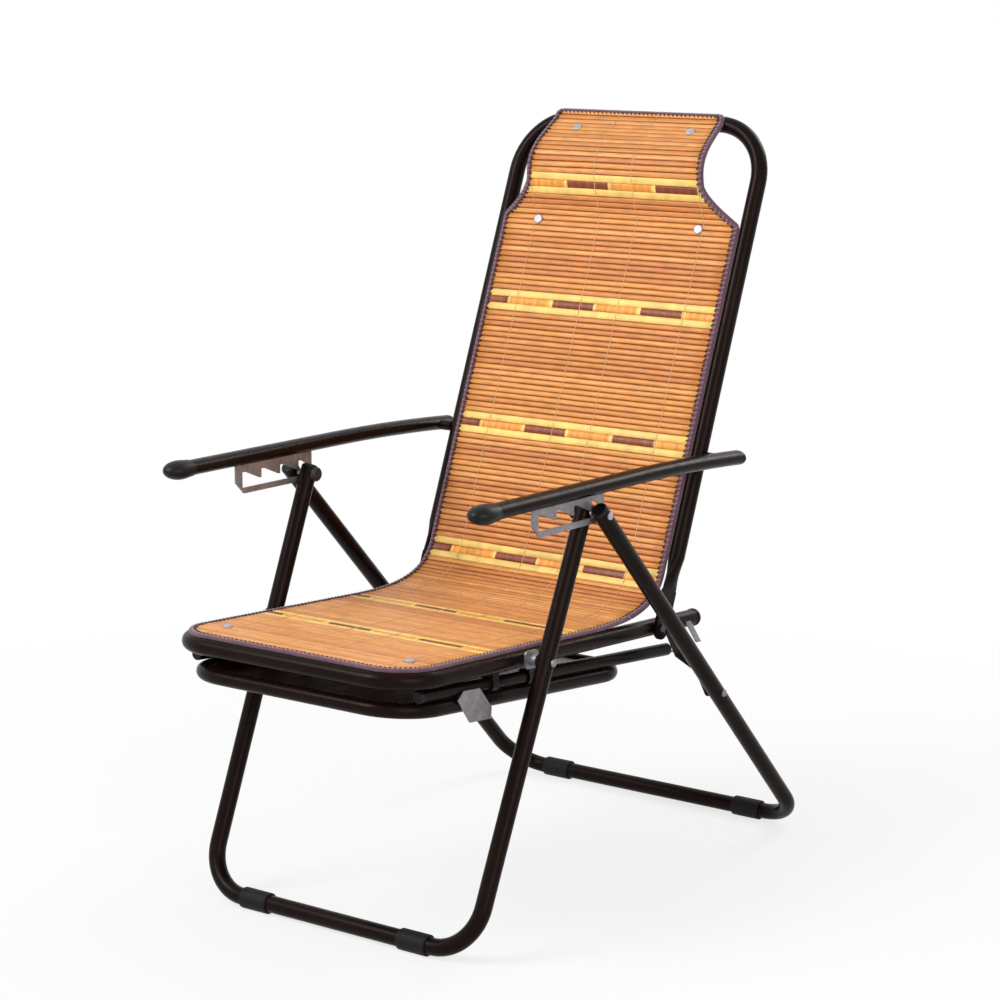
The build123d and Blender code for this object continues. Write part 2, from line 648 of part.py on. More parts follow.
def slide_guide(along, seat_rail):
    """Right guide under a seat rail: a ring round the slide rail, open below where the footrest frame runs."""
    ahead = Vector(0, SLIDE_AXES[0][0], SLIDE_AXES[0][1])
    plane = Plane(origin=at(REST_HALF, slide_place(along, RAIL_DROP)), x_dir=(1, 0, 0), z_dir=ahead)
    up = 1 if plane.y_dir.Z > 0 else -1
    rise = RAIL_DROP + along * math.tan(math.radians(REST_TILT))
    ring = Circle(RAIL_D / 2 + GAP + GUIDE_WALL)
    neck = Pos(REST_INSET / 2, up * rise / 2) * Rectangle(GUIDE_NECK, rise)
    mouth = Pos(0, -up * RAIL_D / 2) * Rectangle(GUIDE_MOUTH, RAIL_D)
    floor = Pos(0, -up * (RAIL_D - GUIDE_LIFT)) * Rectangle(2 * RAIL_D, RAIL_D)
    hole = Circle(RAIL_D / 2 + GAP)
    return plane * extrude(ring + neck - hole - mouth - floor, GUIDE_L) - seat_rail


def make_seat_guides():
    """Guides under each seat rail that carry the slide rails, and the slanted strap on each tail."""
    seat_rail = swept(Line(at(SEAT_HALF, SEAT_FRONT), at(SEAT_HALF, SEAT_TAIL)), TUBE_D, 0)
    guides = [slide_guide(GUIDE_FRONT + number * GUIDE_PITCH, seat_rail) for number in range(2)]
    add("footrest_guides", *guides, *[mirrored(g) for g in guides])
    top = -STRAP_FROM_TAIL - STRAP_W / 2
    low = top + STRAP_BACK
    outline = make_face(Polyline((top, 0), (top + STRAP_W, 0), (low + STRAP_W, -STRAP_DROP), (low, -STRAP_DROP),
                                 close=True))
    plane = side_plane(SEAT_HALF + R - STRAP_SEAT, SEAT_TAIL, SEAT_AXES)
    strap = plane * extrude(outline, STRAP_T) - seat_rail
    add_pair("seat_tail_straps", strap)


def slat_sheet(places, length, half, under):
    """A mat across the object whose upper side is a row of slats on a base sheet.

    places gives the side-view place at a share of the mat's length and a height above its underside.
    under lists the shares, from the far end back to the near one, where the underside turns.
    """
    rows = round(length / SLAT_PITCH)
    margin = SLAT_GAP / 2 / SLAT_PITCH
    outline = [places(0, MAT_BASE)]
    for row in range(rows):
        low = (row + margin) / rows
        high = (row + 1 - margin) / rows
        outline += [places(low, MAT_BASE), places(low, MAT_T), places(high, MAT_T), places(high, MAT_BASE)]
    outline.append(places(1, MAT_BASE))
    outline += [places(share, 0) for share in under]
    plane = Plane(origin=(-half, 0, 0), x_dir=(0, 1, 0), z_dir=(1, 0, 0))
    return plane * extrude(make_face(Polyline(*outline, close=True)), 2 * half)


def snap_head():
    """A domed press snap."""
    head = extrude(Circle(SNAP_D / 2), SNAP_H)
    return fillet(head.edges().group_by(Axis.Z)[-1], SNAP_H * EDGE_SHARE)


def make_seat_mat():
    length = HINGE_ALONG - BEND_ON_SEAT - SEAT_MAT_FRONT
    sheet = slat_sheet(lambda share, height: seat_place(SEAT_MAT_FRONT + length * share, MAT_LIFT + height),
                       length, SEAT_MAT_HALF, [1, 0])
    middle = seat_place(SEAT_MAT_FRONT + length / 2, MAT_LIFT)
    plane = Plane(origin=at(0, middle), x_dir=(1, 0, 0), z_dir=(0, SEAT_AXES[1][0], SEAT_AXES[1][1]))
    rounded = Rectangle(2 * SEAT_MAT_HALF, length)
    rounded = fillet(rounded.vertices().group_by(Axis.Y)[0], MAT_CORNER)
    add("seat_mat", sheet & (plane * extrude(rounded, 2 * MAT_T, both=True)))
    snaps = []
    for side in (1, -1):
        spot = at(side * (SEAT_MAT_HALF - SEAT_SNAP_INSET), seat_place(SEAT_SNAP_ALONG, MAT_LIFT + MAT_T))
        snaps.append(Plane(origin=spot, z_dir=plane.z_dir) * snap_head())
    add("seat_snaps", *snaps)


def bulge(along):
    """How far the mat stands in front of its flat lie at a distance up the back, at the headrest."""
    if along <= HEAD_CUT_LOW:
        return 0.0
    share = min(1.0, (along - HEAD_CUT_LOW) / (BACK_LENGTH - HEAD_CUT_LOW))
    return HEAD_BULGE * math.sin(math.pi * share ** SKEW_POWER) ** BULGE_POWER


def on_back(along, height):
    """A place on the mat's back part, given by its distance up the back and its height above the underside."""
    return back_place(along, MAT_LIFT + height + bulge(along))


def make_back_mat():
    length = BACK_LENGTH - BEND_ON_BACK
    head = (HEAD_CUT_LOW - BEND_ON_BACK) / length
    turns = round((BACK_LENGTH - HEAD_CUT_LOW) / SLAT_PITCH / 2)
    under = [1 - (1 - head) * turn / turns for turn in range(turns + 1)] + [0]
    sheet = slat_sheet(lambda share, height: on_back(BEND_ON_BACK + length * share, height),
                       length, BACK_MAT_HALF, under)
    sheet = sheet - head_cut(1) - head_cut(-1)
    add("back_mat", sheet)
    snaps = []
    for inset, along in ((TOP_SNAP_INSET, BACK_LENGTH - TOP_SNAP_DOWN),
                         (SHOULDER_SNAP_INSET, HEAD_CUT_LOW - SHOULDER_SNAP_DOWN)):
        for side in (1, -1):
            slope = (bulge(along + 1) - bulge(along - 1)) / 2
            tilt = offset_place((0, 0), BACK_AXES, -slope, 1)
            spot = at(side * (HEAD_HALF - inset), on_back(along, MAT_T))
            plane = Plane(origin=spot, z_dir=(0, tilt[0], tilt[1]))
            snaps.append((plane * snap_head() - sheet).solids().sort_by(SortBy.VOLUME)[-1])
    add("back_snaps", *snaps)


def head_cut(side):
    """The hollow cut that narrows the mat at the headrest, on one side."""
    normal = (0, -side * BACK_AXES[1][0], -side * BACK_AXES[1][1])
    plane = Plane(origin=at(0, HINGE), x_dir=(side, 0, 0), z_dir=normal)
    up = 1 if plane.y_dir.Z > 0 else -1
    low = up * HEAD_CUT_LOW
    end = up * (BACK_LENGTH + 2 * TUBE_D)
    beyond = BACK_MAT_HALF + TUBE_D
    top = HEAD_HALF - HEAD_TAPER
    start = (BACK_MAT_HALF + GAP, low)
    middle = (HEAD_HALF + HEAD_CUT_SHARE * HEAD_INSET, up * (HEAD_CUT_LOW + HEAD_CUT_RISE / 2))
    waist = (HEAD_HALF, up * (HEAD_CUT_LOW + HEAD_CUT_RISE))
    edges = [ThreePointArc(start, middle, waist), Line(waist, (top, up * BACK_LENGTH)),
             Line((top, up * BACK_LENGTH), (top, end)), Line((top, end), (beyond, end)),
             Line((beyond, end), (beyond, low)), Line((beyond, low), start)]
    return plane * extrude(make_face(edges), 2 * HEAD_BULGE + 4 * TUBE_D, both=True)


def make_mat_bend():
    """The part of the mat that hangs across the corner between seat and back."""
    start = seat_place(HINGE_ALONG - BEND_ON_SEAT + GAP, MAT_LIFT)
    finish = back_place(BEND_ON_BACK - GAP, MAT_LIFT)
    corner = crossing(start, seat_place(HINGE_ALONG, MAT_LIFT), finish, back_place(0, MAT_LIFT))
    reach = min(span(corner, start), span(corner, finish))
    turn = math.acos(SEAT_AXES[0][0] * BACK_AXES[0][0] + SEAT_AXES[0][1] * BACK_AXES[0][1])
    radius = BEND_SHARE * reach / math.tan(turn / 2)
    path = FilletPolyline(start, corner, finish, radius=radius)

    def on_bend(share, height):
        """A place on the bend, given by a share of its length and a height above the underside."""
        spot = path @ share
        way = path % share
        return (spot.X - way.Y * height, spot.Y + way.X * height)

    rows = round(path.length / SLAT_PITCH)
    under = [1 - row / rows for row in range(rows + 1)]
    add("mat_bend", slat_sheet(on_bend, path.length, SEAT_MAT_HALF, under))


def main():
    make_legs()
    make_leg_pins()
    make_seat_frame()
    make_seat_pivots()
    make_back_frame()
    make_links()
    make_armrests()
    make_footrest()
    make_slide_rails()
    make_seat_guides()
    make_seat_mat()
    make_back_mat()
    make_mat_bend()
    os.makedirs("parts", exist_ok=True)
    for name, shape in NODES.items():
        export_step(shape, os.path.join("parts", name + ".step"))


main()
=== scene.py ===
import json
import math
import random

import bpy
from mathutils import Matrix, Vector


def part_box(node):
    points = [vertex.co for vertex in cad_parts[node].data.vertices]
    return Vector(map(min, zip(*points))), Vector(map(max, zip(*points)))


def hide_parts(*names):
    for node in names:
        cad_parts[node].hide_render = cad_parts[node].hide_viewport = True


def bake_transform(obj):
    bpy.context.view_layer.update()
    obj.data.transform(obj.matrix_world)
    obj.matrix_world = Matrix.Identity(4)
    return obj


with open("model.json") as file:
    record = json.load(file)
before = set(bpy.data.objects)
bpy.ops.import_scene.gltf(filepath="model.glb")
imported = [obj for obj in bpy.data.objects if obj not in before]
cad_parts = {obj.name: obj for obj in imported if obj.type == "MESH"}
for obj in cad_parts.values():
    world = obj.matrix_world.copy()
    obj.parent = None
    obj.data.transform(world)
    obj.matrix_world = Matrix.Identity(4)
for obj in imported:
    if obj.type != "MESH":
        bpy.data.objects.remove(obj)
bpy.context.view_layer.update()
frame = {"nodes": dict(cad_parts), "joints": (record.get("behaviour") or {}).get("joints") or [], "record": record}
DICE = random.Random(11)

# The camera of the photograph. Sizes are in metres and angles in degrees.
VIEW_TARGET = (0.073, -0.062, 0.587)
VIEW_AZIMUTH = 36.729
VIEW_PITCH = 10.993
VIEW_DISTANCE = 4.016
VIEW_LENS_MM = 99.66
SENSOR_MM = 36.0

# Where the mat lies: above the tubes, in front of the back and round the corner between them
TUBE_R = 0.0125
MAT_LIFT = 0.0128
MAT_T = 0.004
FRONT_EDGE = -0.002
BEND_ON_SEAT = 0.185
BEND_ON_BACK = 0.080
BEND_PULL = 1.25
HEAD_LENGTH = 0.1644
HEAD_OVER_TUBE = 0.012
HEAD_BULGE = 0.044
HEAD_SKEW = 0.92
HEAD_SHARPNESS = 1.3
HEAD_SWAY = 0.007
LAY_STEP = 0.002

# Outline of the mat
SEAT_HALF = 0.212
BACK_HALF = 0.2193
FRONT_CORNER = 0.066
HEAD_HALF = 0.1643
HEAD_FLARE = -0.008
NECK_LENGTH = 0.062
NECK_POWER = 1.47
TOP_CORNER = 0.012

# Rows of slats
SLAT_PITCH = 0.0090
SLAT_GAP = 0.0015
BAND_GAP = 0.0003
SLAT_CROWN = 0.0033
SLAT_STATIONS = 14
BAND_ROWS = 3
BAND_PITCH = 0.0115
SLAT_BOW = 0.00022
SLAT_BOW_WAVES = (3.1, 5.3)
SLAT_UNEVEN = 0.00012
ROW_END = 0.999
SEAT_BANDS = (0.199, 0.400)
BACK_BANDS = (0.0675, 0.2712, 0.4739, 0.6605)
DASH_PITCH = 0.0826
DASH_START = -0.176
DASH_GAP = 0.006
FLECK_PITCH = 0.0052
DASH_BLUR = 0.0012

# Cloth and thread of the mat
BACKING_T = 0.0006
BINDING_W = 0.0072
BINDING_T = 0.0007
BINDING_STEP = 0.006
BINDING_FINE = 0.25
BINDING_SKIN = 0.0003
BINDING_CROWN = 0.0004
ROW_INSET = BINDING_W * 0.4
SLAT_INSET = BINDING_W * 0.35
BACKING_INSET = 0.002
BACKING_LEAST_HALF = 0.01
BACKING_STATIONS = 12
HEM_DROP = 0.0016
STITCH_PITCH = 0.0078
STITCH_R = 0.0007
STITCH_SPAN = (0.0058, 0.0013)
STITCH_LEAN = (0.0012, 0.0022)
STITCH_HEIGHTS = (0.0010, 0.0026, 0.0030, 0.0026)
SCALLOP_R = 0.0010
SCALLOP_SPAN = (0.0096, 0.0066)
THREAD_PLACES = (-0.157, -0.035, 0.035, 0.157)
THREAD_R = 0.0006
THREAD_STRAY = 0.0003
THREAD_DIP = 0.0009
THREAD_SIDES = 5
AREA_STEPS = 200

JOINTS = {joint["name"]: joint for joint in frame["joints"]}
SLOT_OF = {part["node"]: part["material_slot"] for part in frame["record"]["subparts"]}


def srgb(red, green, blue):
    """A colour given in display values of 0 to 255, as the linear colour that shaders take."""
    def linear(value):
        share = value / 255
        return share / 12.92 if share <= 0.04045 else ((share + 0.055) / 1.055) ** 2.4
    return (linear(red), linear(green), linear(blue), 1.0)


def smooth(value):
    """A smooth step from 0 to 1."""
    share = min(max(value, 0.0), 1.0)
    return share * share * (3 - 2 * share)


# The mat's lie, in side view

def side_place(joint):
    """Side-view place (y, z) of a joint's axis."""
    place = JOINTS[joint]["pos_m"]
    return Vector((place[1], place[2]))


HINGE = side_place("recline")
SEAT_DIR = (HINGE - side_place("seat_fold")).normalized()
BACK_DIR = (side_place("armrest_lift_right") - HINGE).normalized()
SEAT_UP = Vector((-SEAT_DIR.y, SEAT_DIR.x))
BACK_OUT = Vector((-BACK_DIR.y, BACK_DIR.x))
SEAT_LENGTH = (HINGE.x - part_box("seat_frame")[0].y - TUBE_R) / SEAT_DIR.x
BACK_LENGTH = (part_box("back_frame")[1].z - TUBE_R - HINGE.y) / BACK_DIR.y
HEAD_LOW = BACK_LENGTH - HEAD_LENGTH
HEAD_TOP = BACK_LENGTH + HEAD_OVER_TUBE
MID_LIFT = MAT_LIFT + MAT_T / 2


def on_seat(along, lift=MID_LIFT):
    """Side-view place at a distance behind the seat's front tube, above the rails."""
    return HINGE + SEAT_DIR * (along - SEAT_LENGTH) + SEAT_UP * lift


def on_back(along, lift=MID_LIFT):
    """Side-view place at a distance up the back, in front of its tubes."""
    return HINGE + BACK_DIR * along + BACK_OUT * lift


def head_bulge(along):
    """How far the headrest stands out from the flat lie of the back, with its drop over the top tube."""
    share = min(max((along - HEAD_LOW) / HEAD_LENGTH, 0.0), 1.0)
    out = HEAD_BULGE * math.sin(math.pi * share ** HEAD_SKEW) ** HEAD_SHARPNESS if share < 1 else 0.0
    over = max(along - BACK_LENGTH, 0.0)
    return out - MID_LIFT + math.sqrt(MID_LIFT ** 2 - over ** 2)


def lay_points():
    """Side-view points of the mat's middle surface, from its front edge to its top edge."""
    start = SEAT_LENGTH - BEND_ON_SEAT
    count = round((start - FRONT_EDGE) / LAY_STEP)
    points = [on_seat(FRONT_EDGE + (start - FRONT_EDGE) * k / count) for k in range(count)]
    first, last = on_seat(start), on_back(BEND_ON_BACK)
    slope = (SEAT_DIR.x * BACK_DIR.y - SEAT_DIR.y * BACK_DIR.x)
    gap = last - first
    reach = (gap.x * BACK_DIR.y - gap.y * BACK_DIR.x) / slope
    corner = first + SEAT_DIR * reach
    count = round((BEND_ON_SEAT + BEND_ON_BACK) / LAY_STEP)
    for k in range(count):
        t = k / count
        shares = ((1 - t) ** 2, 2 * BEND_PULL * t * (1 - t), t ** 2)
        points.append((first * shares[0] + corner * shares[1] + last * shares[2]) / sum(shares))
    count = round((HEAD_TOP - BEND_ON_BACK) / LAY_STEP)
    for k in range(count + 1):
        along = BEND_ON_BACK + (HEAD_TOP - BEND_ON_BACK) * k / count
        points.append(on_back(along, MID_LIFT + head_bulge(along)))
    return points


LAY = lay_points()
LAY_AT = [0.0]
for before, after in zip(LAY, LAY[1:]):
    LAY_AT.append(LAY_AT[-1] + (after - before).length)
MAT_LENGTH = LAY_AT[-1]


def lay_index(s):
    """The stretch of the lay that holds a distance along the mat."""
    low, high = 0, len(LAY_AT) - 2
    while low < high:
        middle = (low + high + 1) // 2
        if LAY_AT[middle] <= s:
            low = middle
        else:
            high = middle - 1
    return low


def lay_direction(index):
    """Direction of the lay at one of its points."""
    low, high = max(index - 1, 0), min(index + 1, len(LAY) - 1)
    return (LAY[high] - LAY[low]).normalized()


def place(x, s, lift=0.0):
    """A point of the mat: across it, along it from the front edge, and above its middle surface."""
    k = lay_index(s)
    share = (s - LAY_AT[k]) / (LAY_AT[k + 1] - LAY_AT[k])
    middle = LAY[k].lerp(LAY[k + 1], share)
    along = lay_direction(k).lerp(lay_direction(k + 1), share).normalized()
    return Vector((x + head_sway(s), middle.x - along.y * lift, middle.y + along.x * lift))


def head_sway(s):
    """How far the headrest is pulled to one side, at a distance along the mat."""
    return -HEAD_SWAY * smooth((s - MAT_LENGTH + HEAD_LENGTH) / HEAD_LENGTH)


def along_mat(point):
    """Distance along the mat of the point of its lay that is nearest to a side-view place."""
    nearest = min(range(len(LAY)), key=lambda k: (LAY[k] - point).length)
    return LAY_AT[nearest]


BEND_START = along_mat(on_seat(SEAT_LENGTH - BEND_ON_SEAT))
BEND_END = along_mat(on_back(BEND_ON_BACK))
NECK = along_mat(on_back(HEAD_LOW))
BAND_PLACES = ([along_mat(on_seat(a)) for a in SEAT_BANDS]
               + [along_mat(on_back(b, MID_LIFT + head_bulge(b))) for b in BACK_BANDS])


def half_width(s):
    """Half the mat's width at a distance along it."""
    half = SEAT_HALF + (BACK_HALF - SEAT_HALF) * smooth((s - BEND_START) / (BEND_END - BEND_START))
    if s < FRONT_CORNER:
        half -= FRONT_CORNER - math.sqrt(max(FRONT_CORNER ** 2 - (FRONT_CORNER - s) ** 2, 0.0))
    if s > NECK:
        waist = min((s - NECK) / NECK_LENGTH, 1.0)
        flare = HEAD_FLARE * max((s - NECK - NECK_LENGTH) / (MAT_LENGTH - NECK - NECK_LENGTH), 0.0)
        half = HEAD_HALF + flare + (half - HEAD_HALF) * (1 - waist) ** NECK_POWER
    left = MAT_LENGTH - s
    if left < TOP_CORNER:
        half -= TOP_CORNER - math.sqrt(max(TOP_CORNER ** 2 - (TOP_CORNER - left) ** 2, 0.0))
    return half


def mat_rows():
    """Rows of the mat in order, as (distance along, width, kind), with the bands at their places."""
    edges = [ROW_INSET]
    for band in BAND_PLACES:
        edges += [band - BAND_ROWS * BAND_PITCH / 2, band + BAND_ROWS * BAND_PITCH / 2]
    edges.append(MAT_LENGTH - ROW_INSET)
    rows = []
    for number in range(len(edges) - 1):
        low, high = edges[number], edges[number + 1]
        banded = number % 2 == 1
        count = BAND_ROWS if banded else round((high - low) / SLAT_PITCH)
        pitch = (high - low) / count
        for k in range(count):
            kind = ("dash" if k == BAND_ROWS // 2 else "band") if banded else "slat"
            rows.append((low + pitch * (k + 0.5), pitch - (BAND_GAP if banded else SLAT_GAP), kind))
    return rows


ROWS = mat_rows()
SPLIT_ROW = min(range(len(ROWS)), key=lambda k: abs(ROWS[k][0] - (BEND_START + BEND_END) / 2))
SPLIT = (ROWS[SPLIT_ROW][0] + ROWS[SPLIT_ROW + 1][0]) / 2
LOWER_ROWS = ROWS[:SPLIT_ROW + 1]
UPPER_ROWS = ROWS[SPLIT_ROW + 1:]


# Shader helpers

def new_material(name):
    """A material with its nodes, its links and its main shader."""
    material = bpy.data.materials.new(name)
    material.use_nodes = True
    tree = material.node_tree
    return material, tree, tree.nodes["Principled BSDF"]


def add_node(tree, kind, **values):
    """A node with its properties and its input values set by name."""
    node = tree.nodes.new("ShaderNode" + kind)
    for key, value in values.items():
        if key in node.inputs:
            node.inputs[key].default_value = value
        else:
            setattr(node, key, value)
    return node


def math_node(tree, operation, first, second):
    """A math node on two sockets or numbers."""
    node = add_node(tree, "Math", operation=operation)
    for socket, value in zip(node.inputs, (first, second)):
        if isinstance(value, (int, float)):
            socket.default_value = value
        else:
            tree.links.new(value, socket)
    return node.outputs[0]


def remap(tree, value, low, high, out_low, out_high):
    """A value mapped from one range to another, and held within it."""
    node = add_node(tree, "MapRange")
    for name, number in (("From Min", low), ("From Max", high), ("To Min", out_low), ("To Max", out_high)):
        node.inputs[name].default_value = number
    tree.links.new(value, node.inputs["Value"])
    return node.outputs["Result"]


def noise_on(tree, vector, scale, detail=2.0, roughness=0.5):
    """Noise at a vector socket."""
    node = add_node(tree, "TexNoise", Scale=scale, Detail=detail, Roughness=roughness)
    tree.links.new(vector, node.inputs["Vector"])
    return node.outputs["Fac"]


def ramp(tree, value, *stops):
    """A colour ramp with stops of (place, colour)."""
    node = add_node(tree, "ValToRGB")
    elements = node.color_ramp.elements
    while len(elements) < len(stops):
        elements.new(0.5)
    for element, (spot, colour) in zip(elements, stops):
        element.position = spot
        element.color = colour
    tree.links.new(value, node.inputs["Fac"])
    return node.outputs["Color"]


def scaled(tree, colour, factor):
    """A colour socket times a value socket."""
    node = add_node(tree, "VectorMath", operation="SCALE")
    tree.links.new(colour, node.inputs[0])
    tree.links.new(factor, node.inputs["Scale"])
    return node.outputs[0]


def add_bump(tree, shader, height, strength, distance):
    """A bump from a height socket on a shader."""
    node = add_node(tree, "Bump", Strength=strength, Distance=distance)
    tree.links.new(height, node.inputs["Height"])
    tree.links.new(node.outputs["Normal"], shader.inputs["Normal"])


def object_place(tree):
    """The socket of an object's own coordinates."""
    return add_node(tree, "TexCoord").outputs["Object"]


def named_value(tree, name):
    """The sockets of a mesh attribute: its colour and its value."""
    node = add_node(tree, "Attribute", attribute_name=name)
    return node.outputs["Color"], node.outputs["Fac"]


# Materials

def bamboo():
    """Carbonised slats: a tint for each slat, mottled along it, with grain and painted shade that darkens their
    edges by the gaps.
    """
    material, tree, shader = new_material("bamboo_slats")
    tint = named_value(tree, "tint")[0]
    row = named_value(tree, "row")[1]
    across = named_value(tree, "across")[1]
    split = add_node(tree, "SeparateXYZ")
    tree.links.new(object_place(tree), split.inputs[0])

    def streaks(stretch, spread, detail):
        vector = add_node(tree, "CombineXYZ")
        tree.links.new(math_node(tree, "MULTIPLY", split.outputs["X"], stretch), vector.inputs["X"])
        offset = math_node(tree, "MULTIPLY", across, spread)
        apart = math_node(tree, "MULTIPLY", row, 400.0)
        tree.links.new(math_node(tree, "ADD", apart, offset), vector.inputs["Y"])
        return noise_on(tree, vector.outputs[0], 1.0, detail)

    mottle = streaks(34.0, 0.5, 1.0)
    grain = streaks(70.0, 7.0, 4.0)
    # Painted shade: each slat's colour darkens by up to 4% towards its sides, beside the gaps
    edge = math_node(tree, "ABSOLUTE", across, 0.0)
    colour = scaled(tree, tint, remap(tree, mottle, 0.3, 0.7, 0.86, 1.14))
    colour = scaled(tree, colour, remap(tree, grain, 0.3, 0.7, 0.9, 1.08))
    colour = scaled(tree, colour, remap(tree, edge, 0.5, 1.0, 1.0, 0.96))
    tree.links.new(colour, shader.inputs["Base Color"])
    tree.links.new(remap(tree, grain, 0.3, 0.7, 0.34, 0.52), shader.inputs["Roughness"])
    add_bump(tree, shader, grain, 0.25, 0.0004)
    return material


def woven(name, dark, light, thread_scale, sheen):
    """Plain woven cloth, with its threads in the bump and uneven colour."""
    material, tree, shader = new_material(name)
    spot = object_place(tree)
    over = add_node(tree, "TexWave", bands_direction="X", Scale=thread_scale, Distortion=0.6)
    under = add_node(tree, "TexWave", bands_direction="Z", Scale=thread_scale, Distortion=0.6)
    for wave in (over, under):
        tree.links.new(spot, wave.inputs["Vector"])
    height = math_node(tree, "MULTIPLY", over.outputs["Fac"], under.outputs["Fac"])
    worn = noise_on(tree, spot, 60.0, 4.0)
    mixed = math_node(tree, "ADD", math_node(tree, "MULTIPLY", height, 0.5),
                      math_node(tree, "MULTIPLY", worn, 0.6))
    tree.links.new(ramp(tree, mixed, (0.15, dark), (0.8, light)), shader.inputs["Base Color"])
    tree.links.new(remap(tree, worn, 0.3, 0.7, 0.75, 0.95), shader.inputs["Roughness"])
    shader.inputs["Sheen Weight"].default_value = sheen
    add_bump(tree, shader, height, 0.5, 0.0005)
    return material


def thread(name, dark, light):
    """Twisted sewing thread."""
    material, tree, shader = new_material(name)
    fibre = noise_on(tree, object_place(tree), 900.0, 3.0)
    tree.links.new(ramp(tree, fibre, (0.3, dark), (0.7, light)), shader.inputs["Base Color"])
    tree.links.new(remap(tree, fibre, 0.3, 0.7, 0.55, 0.8), shader.inputs["Roughness"])
    add_bump(tree, shader, fibre, 0.4, 0.0003)
    return material


def painted_tube():
    """Glossy dark brown paint with a slight orange peel and a few dull rubs."""
    material, tree, shader = new_material("painted_tube")
    spot = object_place(tree)
    cloud = noise_on(tree, spot, 9.0, 4.0)
    peel = noise_on(tree, spot, 420.0, 1.0)
    rub = noise_on(tree, spot, 55.0, 6.0, 0.7)
    tree.links.new(ramp(tree, cloud, (0.35, srgb(15, 8, 6)), (0.7, srgb(24, 14, 11))),
                   shader.inputs["Base Color"])
    tree.links.new(remap(tree, rub, 0.45, 0.75, 0.26, 0.42), shader.inputs["Roughness"])
    shader.inputs["Specular IOR Level"].default_value = 0.08
    shader.inputs["Specular Tint"].default_value = (1.0, 0.8, 0.72, 1.0)
    add_bump(tree, shader, peel, 0.06, 0.0006)
    return material


def moulded_plastic():
    """Black moulded plastic with a fine grain."""
    material, tree, shader = new_material("black_plastic")
    spot = object_place(tree)
    grain = noise_on(tree, spot, 1400.0, 2.0)
    cloud = noise_on(tree, spot, 40.0, 3.0)
    tree.links.new(ramp(tree, cloud, (0.3, srgb(9, 8, 8)), (0.75, srgb(15, 14, 14))),
                   shader.inputs["Base Color"])
    tree.links.new(remap(tree, cloud, 0.3, 0.7, 0.34, 0.5), shader.inputs["Roughness"])
    shader.inputs["Specular IOR Level"].default_value = 0.2
    add_bump(tree, shader, grain, 0.12, 0.0003)
    return material


def sleeve_rubber():
    """Matt black rubber, dusty in places."""
    material, tree, shader = new_material("black_rubber")
    spot = object_place(tree)
    dust = noise_on(tree, spot, 90.0, 6.0, 0.65)
    tree.links.new(ramp(tree, dust, (0.4, srgb(10, 9, 9)), (0.8, srgb(25, 23, 22))),
                   shader.inputs["Base Color"])
    tree.links.new(remap(tree, dust, 0.3, 0.8, 0.5, 0.78), shader.inputs["Roughness"])
    shader.inputs["Specular IOR Level"].default_value = 0.2
    add_bump(tree, shader, noise_on(tree, spot, 700.0, 3.0), 0.2, 0.0005)
    return material


def zinc_plate(name, dark, light, metallic):
    """Plated steel: a satin metal with a faint crystal pattern and fine scratches."""
    material, tree, shader = new_material(name)
    spot = object_place(tree)
    crystal = add_node(tree, "TexVoronoi", Scale=160.0)
    tree.links.new(spot, crystal.inputs["Vector"])
    cloud = noise_on(tree, spot, 30.0, 5.0)
    scratch = noise_on(tree, spot, 600.0, 2.0)
    tone = math_node(tree, "ADD", math_node(tree, "MULTIPLY", crystal.outputs["Distance"], 0.2),
                     math_node(tree, "MULTIPLY", cloud, 0.7))
    tree.links.new(ramp(tree, tone, (0.25, dark), (0.75, light)), shader.inputs["Base Color"])
    shader.inputs["Metallic"].default_value = metallic
    tree.links.new(remap(tree, cloud, 0.3, 0.7, 0.36, 0.55), shader.inputs["Roughness"])
    add_bump(tree, shader, scratch, 0.08, 0.0003)
    return material


def capped_pin():
    """Plated leg pin with a black plastic cap over its inner nut."""
    material, tree, shader = new_material("capped_pin")
    spot = object_place(tree)
    split = add_node(tree, "SeparateXYZ")
    tree.links.new(spot, split.inputs[0])
    across = math_node(tree, "ABSOLUTE", split.outputs["X"], 0.0)
    outer = remap(tree, across, NUT_FACE, NUT_FACE + NUT_EDGE, 0.0, 1.0)
    cloud = noise_on(tree, spot, 30.0, 5.0)
    tree.links.new(ramp(tree, outer, (0.0, srgb(18, 16, 16)), (1.0, srgb(170, 166, 174))),
                   shader.inputs["Base Color"])
    tree.links.new(remap(tree, outer, 0.0, 1.0, 0.0, 0.5), shader.inputs["Metallic"])
    tree.links.new(remap(tree, cloud, 0.3, 0.7, 0.36, 0.55), shader.inputs["Roughness"])
    return material


def lacquered_board():
    """Dark red lacquered board with the grain of its face veneer."""
    material, tree, shader = new_material("panel")
    stretch = add_node(tree, "Mapping", Scale=(60.0, 6.0, 60.0))
    tree.links.new(object_place(tree), stretch.inputs["Vector"])
    grain = noise_on(tree, stretch.outputs[0], 1.0, 5.0)
    tree.links.new(ramp(tree, grain, (0.3, srgb(48, 14, 12)), (0.7, srgb(86, 28, 22))),
                   shader.inputs["Base Color"])
    tree.links.new(remap(tree, grain, 0.3, 0.7, 0.34, 0.5), shader.inputs["Roughness"])
    add_bump(tree, shader, grain, 0.1, 0.0004)
    return material


# Mesh helpers

def mesh_object(name, points, faces, material):
    """A smooth-shaded mesh piece in the scene's frame."""
    mesh = bpy.data.meshes.new(name)
    mesh.from_pydata([tuple(p) for p in points], [], faces)
    mesh.materials.append(material)
    mesh.polygons.foreach_set("use_smooth", [True] * len(mesh.polygons))
    mesh.update()
    piece = bpy.data.objects.new(name, mesh)
    bpy.context.scene.collection.objects.link(piece)
    return piece


